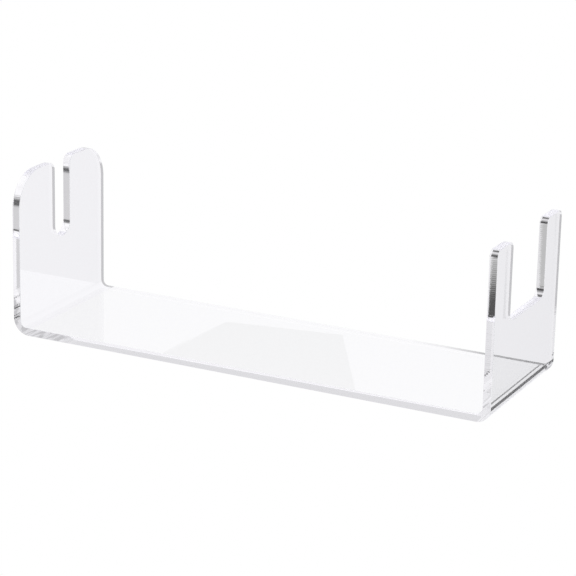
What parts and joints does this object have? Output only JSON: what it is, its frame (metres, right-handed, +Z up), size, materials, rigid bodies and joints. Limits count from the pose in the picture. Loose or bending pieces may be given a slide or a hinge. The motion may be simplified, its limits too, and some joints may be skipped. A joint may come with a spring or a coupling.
{
  "type": "display cradle",
  "caption": "Clear acrylic cradle bent from one sheet: a flat floor between a narrow-slotted upright and a wide-slotted upright, to hold a long tapered object level.",
  "frame": {"origin": "middle of the floor's underside, on the surface that the cradle stands on", "axes": "+X along the length, towards the upright with the wide slot; +Y across the sheet; +Z up"},
  "size_m": [0.3, 0.094, 0.0965],
  "materials": {
    "clear_acrylic": "crystal clear cast acrylic with a faint cool tint, glossy polished faces and finely striated laser-cut edges"
  },
  "bodies": {
    "root": {"bent_acrylic_cradle": "clear_acrylic"}
  },
  "joints": []
}
